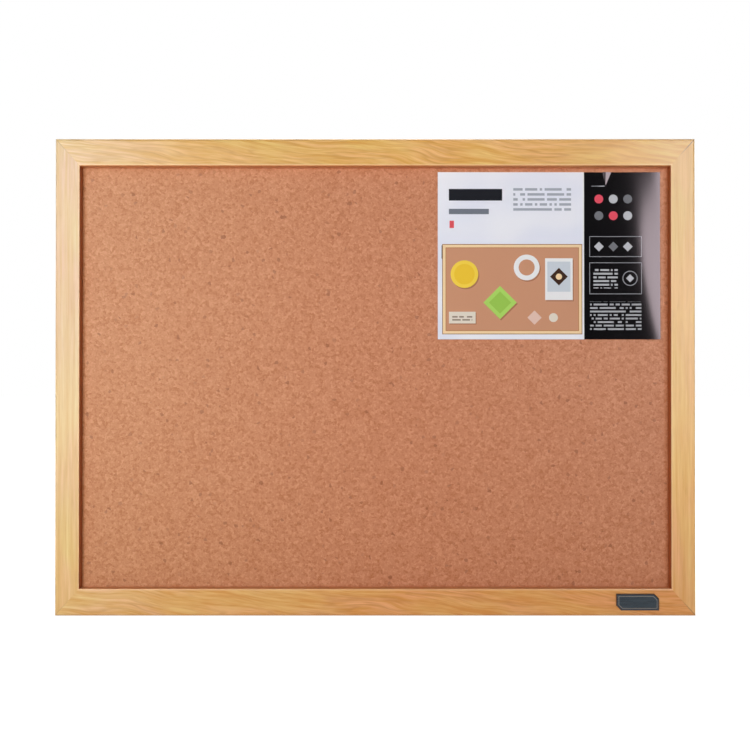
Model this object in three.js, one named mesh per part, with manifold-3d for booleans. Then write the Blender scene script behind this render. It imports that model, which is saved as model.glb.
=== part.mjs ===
// A framed pinboard for a wall. Four mitred rails hold a panel of cork on soft fibreboard. A leaflet is
// stapled to the cork, a small plate is taped to the bottom rail, and the back carries two strap hangers
// with swinging rings and two bumpers.
//
// Millimetres. For someone who faces the board, +X is to the right and +Z is up, and the front faces -Y.
// The origin is behind the board's centre, in the plane of the wall.

import * as THREE from 'three';
import { mergeVertices } from 'three/addons/utils/BufferGeometryUtils.js';
import Module from 'manifold-3d';

// Board and frame
const boardWidth = 600;
const boardHeight = 447;
const sideRailWidth = 23.4;
const crossRailWidth = 25.6;
const lipThickness = 7.3;
const lipShare = 0.34; // of a rail's width, the part that reaches over the panel
const outerRoundShare = 0.1; // of a rail's width, the rounding of its outer front edge
const outerRoundDepth = 2.2;
const innerRoundShare = 0.04; // of a rail's width, the rounding of its inner front edge
const innerRoundDepth = 1;

// Panel, from the front
const corkThickness = 2;
const corkBulge = 0.3; // the free cork stands proud of its edge, which the lip presses
const coreThickness = 5;
const backSheetThickness = 1;
const panelRecess = 1.7; // from the frame's back to the panel's
const panelClearance = 0.5; // round the panel, in the rabbet
const corkFieldClearance = 0.4; // from the lip to the free cork

// Gap between a piece and the pocket cut for it, and how far a cutter runs past what it cuts
const pocketClearance = 0.3;
const cutOverrun = 1;

// V-nails in the backs of the mitres
const nailReach = 4.5; // along the mitre
const nailHalfAngle = THREE.MathUtils.degToRad(38);
const nailSteel = 0.6;
const nailDepth = 10;
const nailRecess = 0.3; // from the frame's back
const nailPlaceShares = [0.2, 0.6]; // of the mitre's length on the frame's back

// Framer's points, which hold the panel in the rabbet
const pointWidth = 8;
const pointReach = 9; // over the panel
const pointBite = 3.8; // into the rail
const pointTip = 2;
const pointSteel = 0.5;
const crossPointShares = [-0.32, 0, 0.32]; // of the board's width
const sidePointShares = [-0.22, 0.22]; // of the board's height

// Strap hangers
const hangerDrop = 90; // from the board's top to the ring's axis
const strapWidth = 8;
const strapSteel = 0.7;
const strapEndMargin = 5; // past the lower screw
const ringWireRadius = 1;
const ringClearance = 0.3; // round the wire, in the barrel
const ringBend = 2;
const ringSideClearance = 0.5; // from the barrel's end to the bend
const ringSide = 4.5; // straight part of each side
const ringJoint = 0.3; // between the wire's two ends, inside the barrel
const ringEdgeMargin = 1; // from the ring to the board's edge
const ringRestGap = 0.3; // from the leaning ring to the frame's back

// Hanger screws
const screwHeadRadius = 2.8;
const screwHeadHeight = 1.9;
const screwHeadRim = 0.7;
const screwHeadGap = 1; // from a head to the barrel, or to the ring when it hangs down
const screwShankRadius = 1.4;
const screwLength = 11;
const screwTip = 3;
const driveLength = 3.2;
const driveWidth = 0.8;
const driveDepth = 1;

// Wall bumpers
const bumperRadius = 5;
const bumperThickness = 4.5;
const bumperRound = 1;
const bumperInset = 36; // from the board's side

// Plate on the bottom rail
const plateWidth = 40;
const plateHeight = 15.5;
const plateThickness = 1.4;
const plateBevel = 0.8;
const plateCorner = 4.6; // cut off two opposite corners
const plateRightGap = 35.2; // from the board's right edge
const plateLift = 5.7; // above the board's bottom edge
const tapeThickness = 0.4;
const tapeInset = 1.5;

// Leaflet and its staples
const leafletWidth = 210;
const leafletHeight = 158;
const leafletThickness = 0.35;
const leafletRightGap = 7.5; // to the lip
const leafletTopGap = 4.4; // to the lip
const stapleCrown = 13;
const stapleLeg = 6;
const stapleWire = 0.5;
const stapleWireWidth = 0.7;
const sideStapleInset = 3.9; // from the leaflet's left edge
const sideStapleDrop = 75.5; // from its top edge
const topStapleInset = 151.7;
const topStapleDrop = 13.2;

// Roundness of the facets
const arcSegments = 5;
const lathSegments = 24;
const wireSides = 10;
const ringSteps = 56;
const mergeTolerance = 1e-5;

// Depths, from the wall to the front
const railDepth = lipThickness + corkThickness + coreThickness + backSheetThickness + panelRecess;
const frameBackY = -bumperThickness;
const frameFrontY = frameBackY - railDepth;
const lipBackY = frameFrontY + lipThickness;
const corkFaceY = lipBackY - corkBulge;
const corkBackY = lipBackY + corkThickness;
const coreBackY = corkBackY + coreThickness;
const panelBackY = coreBackY + backSheetThickness;
const leafletFaceY = corkFaceY - leafletThickness;

// The opening inside the lips, and the wider rabbet behind them
const openingHalfWidth = boardWidth / 2 - sideRailWidth;
const openingHalfHeight = boardHeight / 2 - crossRailWidth;
const rabbetHalfWidth = openingHalfWidth + sideRailWidth * lipShare;
const rabbetHalfHeight = openingHalfHeight + crossRailWidth * lipShare;
const panelHalfWidth = rabbetHalfWidth - panelClearance;
const panelHalfHeight = rabbetHalfHeight - panelClearance;

// Hanger sizes that follow from the wire and the strap
const barrelRadius = ringWireRadius + ringClearance + strapSteel;
const ringHalfSpan = strapWidth / 2 + ringSideClearance + ringBend;
const ringHeight = ringBend + ringSide + ringHalfSpan;
const ringLean = Math.asin((barrelRadius - ringWireRadius - ringRestGap) / ringHeight);
const upperScrewDrop = barrelRadius + screwHeadRadius + screwHeadGap;
const lowerScrewDrop = ringHeight + ringWireRadius + screwHeadRadius + screwHeadGap;
const strapLength = lowerScrewDrop + strapEndMargin;
const hangerX = boardWidth / 2 - ringEdgeMargin - ringHalfSpan - ringWireRadius;
const hangerZ = boardHeight / 2 - hangerDrop;

// Colours and finishes
const oakFoil = { color: 0xdcb074, roughness: 0.5, metalness: 0 };
const cork = { color: 0xbf8260, roughness: 0.95, metalness: 0 };
const fibreboard = { color: 0xb59a74, roughness: 0.95, metalness: 0 };
const hardboard = { color: 0x8a6a48, roughness: 0.8, metalness: 0 };
const zincSteel = { color: 0xb9bcc0, roughness: 0.35, metalness: 1 };
const brightSteel = { color: 0xcfd2d6, roughness: 0.3, metalness: 1 };
const softRubber = { color: 0x2b2b2d, roughness: 0.9, metalness: 0 };
const slatePlate = { color: 0x3b4750, roughness: 0.35, metalness: 0.6 };
const foamTape = { color: 0xe9e7e0, roughness: 0.9, metalness: 0 };
const coatedPaper = { color: 0xe4e6ee, roughness: 0.3, metalness: 0 };

const wasm = await Module();
wasm.setup();

const pinboard = new THREE.Group();

// Adds one named piece to a group.
function addPiece(group, name, geometry, finish) {
  const mesh = new THREE.Mesh(geometry, new THREE.MeshStandardMaterial(finish));
  mesh.name = name;
  group.add(mesh);
  return mesh;
}

// A closed geometry as a solid that can be joined and cut.
function toSolid(geometry) {
  const bare = geometry.clone();
  bare.deleteAttribute('normal');
  bare.deleteAttribute('uv');
  const merged = mergeVertices(bare, mergeTolerance);
  const mesh = new wasm.Mesh({
    numProp: 3,
    vertProperties: new Float32Array(merged.attributes.position.array),
    triVerts: new Uint32Array(merged.index.array),
  });
  return new wasm.Manifold(mesh);
}

function toGeometry(solid) {
  const mesh = solid.getMesh();
  const geometry = new THREE.BufferGeometry();
  geometry.setAttribute('position', new THREE.BufferAttribute(mesh.vertProperties, 3));
  geometry.setIndex(new THREE.BufferAttribute(mesh.triVerts, 1));
  geometry.computeVertexNormals();
  return geometry;
}

function join(body, added) {
  return toGeometry(toSolid(body).add(toSolid(added)));
}

function overlapOf(body, other) {
  return toGeometry(toSolid(body).intersect(toSolid(other)));
}

function cut(body, cutters) {
  let solid = toSolid(body);
  for (const cutter of cutters) {
    solid = solid.subtract(toSolid(cutter));
  }
  return toGeometry(solid);
}

// A flat shape drawn in X and Z, as seen from the front, filling the space between two depths.
function slab(shape, frontY, backY) {
  const settings = { depth: backY - frontY, bevelEnabled: false, curveSegments: arcSegments };
  const geometry = new THREE.ExtrudeGeometry(shape, settings);
  geometry.rotateX(Math.PI / 2);
  geometry.translate(0, backY, 0);
  return geometry;
}

function shapeOf(points) {
  return new THREE.Shape(points.map(([x, z]) => new THREE.Vector2(x, z)));
}

function rectangle(left, bottom, right, top) {
  return shapeOf([[right, bottom], [right, top], [left, top], [left, bottom]]);
}

function circle(x, z, radius) {
  return new THREE.Path().absarc(x, z, radius, 0, 2 * Math.PI, false);
}

// A straight hole or pin along Y.
function rod(radius, frontY, backY) {
  const length = backY - frontY;
  const geometry = new THREE.CylinderGeometry(radius, radius, length, lathSegments);
  geometry.translate(0, frontY + length / 2, 0);
  return geometry;
}

// V-nails. One is drawn with its point at the origin and its legs opening along +X. Grown by the
// clearance, the same outline is the pocket that it sits in.
function nailOutline(growth) {
  const tip = -growth / Math.sin(nailHalfAngle);
  const crotch = (nailSteel + growth) / Math.sin(nailHalfAngle);
  const end = nailReach + growth;
  const slope = Math.tan(nailHalfAngle);
  const outer = (end - tip) * slope;
  const inner = (end - crotch) * slope;
  return shapeOf([[tip, 0], [end, -outer], [end, -inner], [crotch, 0], [end, inner], [end, outer]]);
}

// The places of the V-nails, each with the turn about Y that lays its legs along the mitre.
function nailPlaces() {
  const places = [];
  for (const [vertical, sz] of [['top', 1], ['bottom', -1]]) {
    for (const [horizontal, sx] of [['left', -1], ['right', 1]]) {
      const inward = new THREE.Vector2(-sx * sideRailWidth, -sz * crossRailWidth);
      nailPlaceShares.forEach((share, index) => {
        const along = inward.clone().multiplyScalar((1 - lipShare) * share);
        places.push({
          name: `v_nail_${vertical}_${horizontal}_${index + 1}`,
          x: sx * boardWidth / 2 + along.x,
          z: sz * boardHeight / 2 + along.y,
          turn: -inward.angle(),
        });
      });
    }
  }
  return places;
}

function nailPocket(place) {
  const bottomY = frameBackY - nailRecess - nailDepth - pocketClearance;
  const pocket = slab(nailOutline(pocketClearance), bottomY, frameBackY + cutOverrun);
  pocket.rotateY(place.turn);
  pocket.translate(place.x, 0, place.z);
  return pocket;
}

function addNails(group) {
  const backY = frameBackY - nailRecess;
  for (const place of nailPlaces()) {
    const nail = addPiece(group, place.name, slab(nailOutline(0), backY - nailDepth, backY), brightSteel);
    nail.position.set(place.x, 0, place.z);
    nail.rotation.y = place.turn;
  }
}

// Framer's points. One is drawn at the rabbet's wall, with its free end over the panel along +X and its
// sharp end in the rail.
function pointOutline() {
  const half = pointWidth / 2;
  const outline = new THREE.Shape();
  outline.moveTo(-pointBite, 0);
  outline.lineTo(pointTip - pointBite, -half);
  outline.lineTo(pointReach - half, -half);
  outline.absarc(pointReach - half, 0, half, -Math.PI / 2, Math.PI / 2, false);
  outline.lineTo(pointTip - pointBite, half);
  return outline;
}

function pointPlaces() {
  const places = [];
  const keep = (rail, index, x, z, turn) => {
    places.push({ name: `framer_point_${rail}_${index + 1}`, x, z, turn });
  };
  for (const [rail, sz] of [['top', 1], ['bottom', -1]]) {
    crossPointShares.forEach((share, index) => {
      keep(rail, index, share * boardWidth, sz * rabbetHalfHeight, sz * Math.PI / 2);
    });
  }
  for (const [rail, sx] of [['left', -1], ['right', 1]]) {
    sidePointShares.forEach((share, index) => {
      keep(rail, index, sx * rabbetHalfWidth, share * boardHeight, sx < 0 ? 0 : Math.PI);
    });
  }
  return places;
}

function pointSlot(place) {
  const half = pointWidth / 2 + pocketClearance;
  const outline = rectangle(-pointBite - pocketClearance, -half, cutOverrun, half);
  const slot = slab(outline, panelBackY - pocketClearance, panelBackY + pointSteel + pocketClearance);
  slot.rotateY(place.turn);
  slot.translate(place.x, 0, place.z);
  return slot;
}

function addPoints(group) {
  for (const place of pointPlaces()) {
    const geometry = slab(pointOutline(), panelBackY, panelBackY + pointSteel);
    const point = addPiece(group, place.name, geometry, zincSteel);
    point.position.set(place.x, 0, place.z);
    point.rotation.y = place.turn;
  }
}

// Strap hangers. Each is drawn with the ring's axis over the origin and the frame's back at y = 0.
function hangerScrewDrops() {
  return [upperScrewDrop, lowerScrewDrop];
}

// The strap's side view, up the strap in x and off the frame in y: flat, then rolled round the wire.
function strapSideView() {
  const boreRadius = barrelRadius - strapSteel;
  const curlEnd = Math.PI + Math.asin((barrelRadius - strapSteel - ringClearance) / barrelRadius);
  const outline = new THREE.Shape();
  outline.moveTo(-strapLength, 0);
  outline.lineTo(0, 0);
  outline.absarc(0, barrelRadius, barrelRadius, -Math.PI / 2, curlEnd, false);
  outline.lineTo(boreRadius * Math.cos(curlEnd), barrelRadius + boreRadius * Math.sin(curlEnd));
  outline.absarc(0, barrelRadius, boreRadius, curlEnd, -Math.PI / 2, true);
  outline.lineTo(-strapLength, strapSteel);
  return outline;
}

// The strap from behind: a straight top, a round lower end and the two screw holes.
function strapPlan() {
  const half = strapWidth / 2;
  const top = barrelRadius + cutOverrun;
  const outline = new THREE.Shape();
  outline.moveTo(half, top);
  outline.lineTo(-half, top);
  outline.absarc(0, half - strapLength, half, Math.PI, 2 * Math.PI, false);
  for (const drop of hangerScrewDrops()) {
    outline.holes.push(circle(0, -drop, screwShankRadius + pocketClearance));
  }
  return outline;
}

function strapGeometry() {
  const width = strapWidth + 2 * cutOverrun;
  const settings = { depth: width, bevelEnabled: false, curveSegments: 2 * arcSegments };
  const rolled = new THREE.ExtrudeGeometry(strapSideView(), settings);
  const alongStrap = new THREE.Vector3(0, 0, 1);
  const offFrame = new THREE.Vector3(0, 1, 0);
  const across = new THREE.Vector3(-1, 0, 0);
  rolled.applyMatrix4(new THREE.Matrix4().makeBasis(alongStrap, offFrame, across));
  rolled.translate(width / 2, 0, 0);
  return overlapOf(rolled, slab(strapPlan(), -cutOverrun, 2 * barrelRadius + cutOverrun));
}

// The wire's path in X and Z: along the barrel, up one side, over the top and down the other side, back to
// where it began.
function ringPath() {
  const start = ringJoint / 2;
  const straight = ringHalfSpan - ringBend;
  const shoulder = ringBend + ringSide;
  const path = new THREE.CurvePath();
  const at = (x, z) => new THREE.Vector3(x, 0, z);
  const circleShare = (4 / 3) * (Math.SQRT2 - 1); // of the radius, a quarter circle's handle
  const bend = ringBend * circleShare;
  const crown = ringHalfSpan * circleShare;
  const top = shoulder + ringHalfSpan;
  const half = (side) => [
    new THREE.LineCurve3(at(side * start, 0), at(side * straight, 0)),
    new THREE.CubicBezierCurve3(
      at(side * straight, 0),
      at(side * (straight + bend), 0),
      at(side * ringHalfSpan, ringBend - bend),
      at(side * ringHalfSpan, ringBend),
    ),
    new THREE.LineCurve3(at(side * ringHalfSpan, ringBend), at(side * ringHalfSpan, shoulder)),
    new THREE.CubicBezierCurve3(
      at(side * ringHalfSpan, shoulder),
      at(side * ringHalfSpan, shoulder + crown),
      at(side * crown, top),
      at(0, top),
    ),
  ];
  half(1).forEach((curve) => path.add(curve));
  half(-1).reverse().forEach((curve) => path.add(reversed(curve)));
  return path;
}

function reversed(curve) {
  if (curve.isLineCurve3) {
    return new THREE.LineCurve3(curve.v2, curve.v1);
  }
  return new THREE.CubicBezierCurve3(curve.v3, curve.v2, curve.v1, curve.v0);
}

function ringGeometry() {
  const section = [];
  for (let side = 0; side < wireSides; side += 1) {
    const angle = (2 * Math.PI * side) / wireSides;
    section.push([ringWireRadius * Math.cos(angle), ringWireRadius * Math.sin(angle)]);
  }
  return new THREE.ExtrudeGeometry(shapeOf(section), { steps: ringSteps, extrudePath: ringPath() });
}

// A pan-head screw along Y, its head's underside at y = 0, with a cross recess.
function screwGeometry() {
  const profile = new THREE.Path();
  profile.moveTo(0, -screwLength);
  profile.lineTo(screwShankRadius, screwTip - screwLength);
  profile.lineTo(screwShankRadius, 0);
  profile.lineTo(screwHeadRadius, 0);
  profile.lineTo(screwHeadRadius, screwHeadRim);
  profile.absellipse(0, screwHeadRim, screwHeadRadius, screwHeadHeight - screwHeadRim, 0, Math.PI / 2, false);
  const body = new THREE.LatheGeometry(onAxis(profile.getPoints(arcSegments)), lathSegments);
  const crossed = [[driveLength, driveWidth], [driveWidth, driveLength]].map(([x, z]) => {
    const arm = new THREE.BoxGeometry(x, driveDepth + cutOverrun, z);
    arm.translate(0, screwHeadHeight + (cutOverrun - driveDepth) / 2, 0);
    return arm;
  });
  return cut(body, [join(crossed[0], crossed[1])]);
}

// A lathe profile whose last point sits exactly on the axis.
function onAxis(points) {
  points.at(-1).x = 0;
  return points;
}

function screwPilot(side, drop) {
  const radius = screwShankRadius + pocketClearance;
  const tipY = frameBackY + strapSteel - screwLength - pocketClearance;
  const pilot = rod(radius, tipY, frameBackY + cutOverrun);
  pilot.translate(side * hangerX, 0, hangerZ - drop);
  return pilot;
}

function addHanger(group, name, side) {
  const hanger = new THREE.Group();
  hanger.position.set(side * hangerX, frameBackY, hangerZ);
  addPiece(hanger, `hanger_strap_${name}`, strapGeometry(), zincSteel);
  const ring = addPiece(hanger, `hanger_ring_${name}`, ringGeometry(), brightSteel);
  ring.position.y = barrelRadius;
  ring.rotation.x = ringLean;
  hangerScrewDrops().forEach((drop, index) => {
    const screw = addPiece(hanger, `hanger_screw_${name}_${index + 1}`, screwGeometry(), zincSteel);
    screw.position.set(0, strapSteel, -drop);
  });
  group.add(hanger);
}

// Frame rails. A rail is drawn as the bottom one: its section runs inward from the outer edge in x and
// forward from the back in y.
function railSection(width) {
  const outerRound = width * outerRoundShare;
  const innerRound = width * innerRoundShare;
  const rabbet = width * (1 - lipShare);
  const section = new THREE.Shape();
  section.moveTo(0, 0);
  section.lineTo(rabbet, 0);
  section.lineTo(rabbet, railDepth - lipThickness);
  section.lineTo(width, railDepth - lipThickness);
  section.lineTo(width, railDepth - innerRoundDepth);
  section.absellipse(
    width - innerRound, railDepth - innerRoundDepth, innerRound, innerRoundDepth, 0, Math.PI / 2,
  );
  section.lineTo(outerRound, railDepth);
  section.absellipse(
    outerRound, railDepth - outerRoundDepth, outerRound, outerRoundDepth, Math.PI / 2, Math.PI,
  );
  return section;
}

// The rail's ends are cut back in step with the distance from its outer edge, which makes the mitres.
function mitredRail(width, neighbourWidth, length, distance, turn) {
  const settings = { depth: length, bevelEnabled: false, curveSegments: arcSegments };
  const geometry = new THREE.ExtrudeGeometry(railSection(width), settings);
  geometry.translate(0, 0, -length / 2);
  const position = geometry.attributes.position;
  for (let index = 0; index < position.count; index += 1) {
    const cutBack = position.getX(index) * (neighbourWidth / width);
    const end = position.getZ(index);
    position.setZ(index, end - Math.sign(end) * cutBack);
  }
  const inward = new THREE.Vector3(0, 0, 1);
  const forward = new THREE.Vector3(0, -1, 0);
  const along = new THREE.Vector3(1, 0, 0);
  geometry.applyMatrix4(new THREE.Matrix4().makeBasis(inward, forward, along));
  geometry.translate(0, frameBackY, -distance);
  geometry.rotateY(turn);
  return geometry;
}

function addRails(group) {
  const pockets = [];
  nailPlaces().forEach((place) => pockets.push(nailPocket(place)));
  pointPlaces().forEach((place) => pockets.push(pointSlot(place)));
  for (const side of [-1, 1]) {
    hangerScrewDrops().forEach((drop) => pockets.push(screwPilot(side, drop)));
  }
  const cross = [crossRailWidth, sideRailWidth, boardWidth, boardHeight / 2];
  const upright = [sideRailWidth, crossRailWidth, boardHeight, boardWidth / 2];
  const rails = [
    ['frame_rail_bottom', cross, 0],
    ['frame_rail_right', upright, -Math.PI / 2],
    ['frame_rail_top', cross, Math.PI],
    ['frame_rail_left', upright, Math.PI / 2],
  ];
  for (const [name, sizes, turn] of rails) {
    addPiece(group, name, cut(mitredRail(...sizes, turn), pockets), oakFoil);
  }
}

// Staples. One is drawn level, its crown on the leaflet's face at y = 0 and its legs going back.
function stapleGeometry() {
  const half = stapleCrown / 2;
  const inside = half - stapleWire;
  const outline = shapeOf([
    [-half, stapleLeg], [-half, 0], [-inside, -stapleWire], [inside, -stapleWire], [half, 0],
    [half, stapleLeg], [inside, stapleLeg - stapleWire], [inside, 0], [-inside, 0],
    [-inside, stapleLeg - stapleWire],
  ]);
  const geometry = new THREE.ExtrudeGeometry(outline, { depth: stapleWireWidth, bevelEnabled: false });
  geometry.translate(0, 0, -stapleWireWidth / 2);
  return geometry;
}

function staplePlaces() {
  const left = openingHalfWidth - leafletRightGap - leafletWidth;
  const top = openingHalfHeight - leafletTopGap;
  return [
    { name: 'leaflet_staple_side', x: left + sideStapleInset, z: top - sideStapleDrop, turn: Math.PI / 2 },
    { name: 'leaflet_staple_top', x: left + topStapleInset, z: top - topStapleDrop, turn: 0 },
  ];
}

function stapleHoles() {
  const holes = [];
  const depth = stapleLeg + pocketClearance + cutOverrun;
  for (const place of staplePlaces()) {
    for (const side of [-1, 1]) {
      const wire = stapleWire + 2 * pocketClearance;
      const hole = new THREE.BoxGeometry(wire, depth, stapleWireWidth + 2 * pocketClearance);
      hole.translate(side * (stapleCrown - stapleWire) / 2, depth / 2 - cutOverrun, 0);
      hole.rotateY(place.turn);
      hole.translate(place.x, leafletFaceY, place.z);
      holes.push(hole);
    }
  }
  return holes;
}

function addLeaflet(group) {
  const right = openingHalfWidth - leafletRightGap;
  const top = openingHalfHeight - leafletTopGap;
  const outline = rectangle(right - leafletWidth, top - leafletHeight, right, top);
  addPiece(group, 'leaflet', cut(slab(outline, leafletFaceY, corkFaceY), stapleHoles()), coatedPaper);
  for (const place of staplePlaces()) {
    const staple = addPiece(group, place.name, stapleGeometry(), brightSteel);
    staple.position.set(place.x, leafletFaceY, place.z);
    staple.rotation.y = place.turn;
  }
}

// The panel: cork, fibreboard and back sheet, all to one outline.
function addPanel(group) {
  const outline = rectangle(-panelHalfWidth, -panelHalfHeight, panelHalfWidth, panelHalfHeight);
  const fieldHalfWidth = openingHalfWidth - corkFieldClearance;
  const fieldHalfHeight = openingHalfHeight - corkFieldClearance;
  const field = rectangle(-fieldHalfWidth, -fieldHalfHeight, fieldHalfWidth, fieldHalfHeight);
  const sheet = join(slab(outline, lipBackY, corkBackY), slab(field, corkFaceY, corkBackY));
  addPiece(group, 'cork_sheet', cut(sheet, stapleHoles()), cork);
  addPiece(group, 'core_board', cut(slab(outline, corkBackY, coreBackY), stapleHoles()), fibreboard);
  addPiece(group, 'back_sheet', slab(outline, coreBackY, panelBackY), hardboard);
}

// The plate's outline, drawn in by an inset: a rectangle with two opposite corners cut off.
function plateOutline(inset) {
  const right = boardWidth / 2 - plateRightGap - inset;
  const left = right - plateWidth + 2 * inset;
  const bottom = plateLift - boardHeight / 2 + inset;
  const top = bottom + plateHeight - 2 * inset;
  const corner = plateCorner - inset * (2 - Math.SQRT2);
  return shapeOf([
    [left + corner, bottom], [right, bottom], [right, top - corner],
    [right - corner, top], [left, top], [left, bottom + corner],
  ]);
}

function addPlate(group) {
  const tapeFrontY = frameFrontY - tapeThickness;
  addPiece(group, 'nameplate_tape', slab(plateOutline(tapeInset), tapeFrontY, frameFrontY), foamTape);
  const settings = {
    depth: plateThickness,
    bevelSize: plateBevel,
    bevelOffset: -plateBevel,
    bevelThickness: plateBevel,
    bevelSegments: 1,
  };
  const bevelled = new THREE.ExtrudeGeometry(plateOutline(0), settings);
  bevelled.rotateX(Math.PI / 2);
  bevelled.translate(0, tapeFrontY + plateBevel, 0);
  const behind = slab(plateOutline(-cutOverrun), tapeFrontY, tapeFrontY + 2 * plateBevel + cutOverrun);
  addPiece(group, 'nameplate', cut(bevelled, [behind]), slatePlate);
}

function bumperGeometry() {
  const top = bumperThickness - bumperRound;
  const profile = new THREE.Path();
  profile.moveTo(0, 0);
  profile.lineTo(bumperRadius, 0);
  profile.lineTo(bumperRadius, top);
  profile.absarc(bumperRadius - bumperRound, top, bumperRound, 0, Math.PI / 2, false);
  profile.lineTo(0, bumperThickness);
  return new THREE.LatheGeometry(profile.getPoints(arcSegments), lathSegments);
}

function addBumpers(group) {
  const z = (crossRailWidth * (1 - lipShare) - boardHeight) / 2;
  for (const [name, side] of [['left', -1], ['right', 1]]) {
    const bumper = addPiece(group, `wall_bumper_${name}`, bumperGeometry(), softRubber);
    bumper.position.set(side * (boardWidth / 2 - bumperInset), frameBackY, z);
  }
}

addRails(pinboard);
addPanel(pinboard);
addNails(pinboard);
addPoints(pinboard);
addLeaflet(pinboard);
addPlate(pinboard);
addHanger(pinboard, 'left', -1);
addHanger(pinboard, 'right', 1);
addBumpers(pinboard);

export default pinboard;
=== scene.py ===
"""The looks of a framed cork pinboard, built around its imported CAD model.

Lengths are in metres, in the CAD model's frame: +X to the right, +Z up, and the board's front faces -Y.
Colours are screen values of 0 to 255, a tint multiplies a colour, and a relief is a bump's real depth.
"""

import math

import bmesh
import bpy
from mathutils import Matrix, Vector, noise


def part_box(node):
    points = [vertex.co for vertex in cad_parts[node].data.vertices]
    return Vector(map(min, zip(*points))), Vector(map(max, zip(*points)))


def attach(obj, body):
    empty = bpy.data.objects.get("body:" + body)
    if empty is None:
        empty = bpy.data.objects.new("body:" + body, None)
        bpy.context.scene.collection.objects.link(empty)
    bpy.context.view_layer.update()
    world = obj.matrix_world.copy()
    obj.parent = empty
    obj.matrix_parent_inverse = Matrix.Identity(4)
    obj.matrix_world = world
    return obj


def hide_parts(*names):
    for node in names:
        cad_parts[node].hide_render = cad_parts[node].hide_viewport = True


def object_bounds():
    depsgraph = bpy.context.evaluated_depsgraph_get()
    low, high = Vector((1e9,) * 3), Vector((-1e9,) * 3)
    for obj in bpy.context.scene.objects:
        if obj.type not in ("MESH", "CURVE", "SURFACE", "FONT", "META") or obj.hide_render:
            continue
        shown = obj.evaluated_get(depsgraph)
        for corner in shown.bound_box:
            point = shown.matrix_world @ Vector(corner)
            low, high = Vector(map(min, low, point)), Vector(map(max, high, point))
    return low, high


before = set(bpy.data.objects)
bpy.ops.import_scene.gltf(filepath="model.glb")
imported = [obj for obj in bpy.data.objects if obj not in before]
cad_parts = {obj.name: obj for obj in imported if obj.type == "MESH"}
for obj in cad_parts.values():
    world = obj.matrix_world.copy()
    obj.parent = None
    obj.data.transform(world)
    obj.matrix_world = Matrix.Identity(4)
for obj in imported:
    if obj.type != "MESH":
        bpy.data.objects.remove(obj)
cad_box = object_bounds()

# Camera, as far from the board's front as the photograph's perspective needs
SENSOR_WIDTH_MM = 36
LENS_MM = 35.92
CAMERA_DISTANCE = 0.70
CAMERA_ELEVATION = math.radians(-0.28)
AIM_LEFT = 0.0002
AIM_ABOVE = 0.0018

# Floor and world
FLOOR_HALF_WIDTH = 8
FLOOR_BELOW = 0.0005
FLOOR_NEAR = 0.5
FLOOR_FAR = 1.4
FLOOR_NEAR_WHITE_SHARE = 0.9
WORLD_LEVEL = 0.06

# Lamps: place, the point that each one faces, width, height and watts
LAMPS = {
    "key softbox": ((-0.40, -1.3, 0.20), (0, 0, 0.05), 0.8, 0.8, 6.0),
    "left softbox": ((-0.46, -0.70, 0.08), (-0.17, 0, 0.05), 0.25, 0.8, 2.2),
    "rear softbox": ((-0.5, 1.6, 1.0), (0, 0, 0), 1.2, 1.2, 20),
    "left side softbox": ((-1.3, 0.35, 0.20), (0, 0, 0), 0.6, 0.8, 4),
    "right side softbox": ((1.3, 0.35, 0.20), (0, 0, 0), 0.6, 0.8, 7),
    "top softbox": ((0, 0.35, 1.3), (0, 0, 0.1), 0.8, 0.6, 8),
}
# A softbox that glossy surfaces don't show, and strips that only they show, in the same terms
MATTE_LAMPS = {
    "right softbox": ((0.50, -0.80, 0.30), (0.1, 0, 0.05), 0.3, 0.7, 2.1),
}
GLOSS_STRIPS = {
    "left strip": ((-0.70, -0.70, 0.20), (-0.2, 0, 0.1), 0.3, 1.1, 6.0),
    "right strip": ((0.650, -0.70, 0.36), (0.205, 0, 0.1), 0.3, 0.9, 8.6),
}

# Places on the frame, from the CAD pieces
OPENING_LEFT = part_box("frame_rail_left")[1].x
OPENING_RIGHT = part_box("frame_rail_right")[0].x
OPENING_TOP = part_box("frame_rail_top")[0].z
FRAME_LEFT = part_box("frame_rail_left")[0].x
FRAME_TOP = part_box("frame_rail_top")[1].z
FRAME_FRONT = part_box("frame_rail_top")[0].y
FRAME_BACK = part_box("frame_rail_top")[1].y
CORK_LOW, CORK_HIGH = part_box("cork_sheet")
CARD_LOW, CARD_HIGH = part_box("leaflet")
PLATE_LOW, PLATE_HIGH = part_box("nameplate")

# Where smooth noise passes from one colour to the next, softly and more firmly
CLOUD_EDGES = (0.3, 0.7)
FIRM_CLOUD_EDGES = (0.35, 0.65)

# Cork: its mesh
CORK_FIELD_CLEARANCE = 0.0004
CORK_BULGE = 0.0003
CORK_STEP = 0.0003
CORK_CELL = 0.0025
CORK_HOLLOWS = 0.00012

# Cork: its grains, how much each size of grain and the patches weigh, and the tones where colours change
CORK_GRAIN = 0.0027
CORK_PATCH = 0.009
CORK_RELIEF = 0.00007
COARSE_WEIGHT = 0.45
SMALL_WEIGHT = 0.35
PATCH_WEIGHT = 0.15
DARK_TONE = 0.12
MIDDLE_TONE = 0.48
PALE_TONE = 0.84
GRAIN_RIM = 0.75
GRAIN_MIDDLE = 0.2
SMALL_HEIGHT_SHARE = 0.5
SPECK_EDGES = (0.980, 0.995)
SPECK_STRENGTH = 0.45
# Painted light on the cork: tints that make it brighter and yellower on the left and duller to the right,
# and how far right of the middle it keeps changing, as a share of the half width
CORK_PAINTED_LIGHT_LEFT = (0.985, 1.075, 0.99)
CORK_PAINTED_LIGHT_RIGHT = (0.985, 0.965, 0.955)
PAINTED_LIGHT_END_SHARE = 0.25

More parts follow.
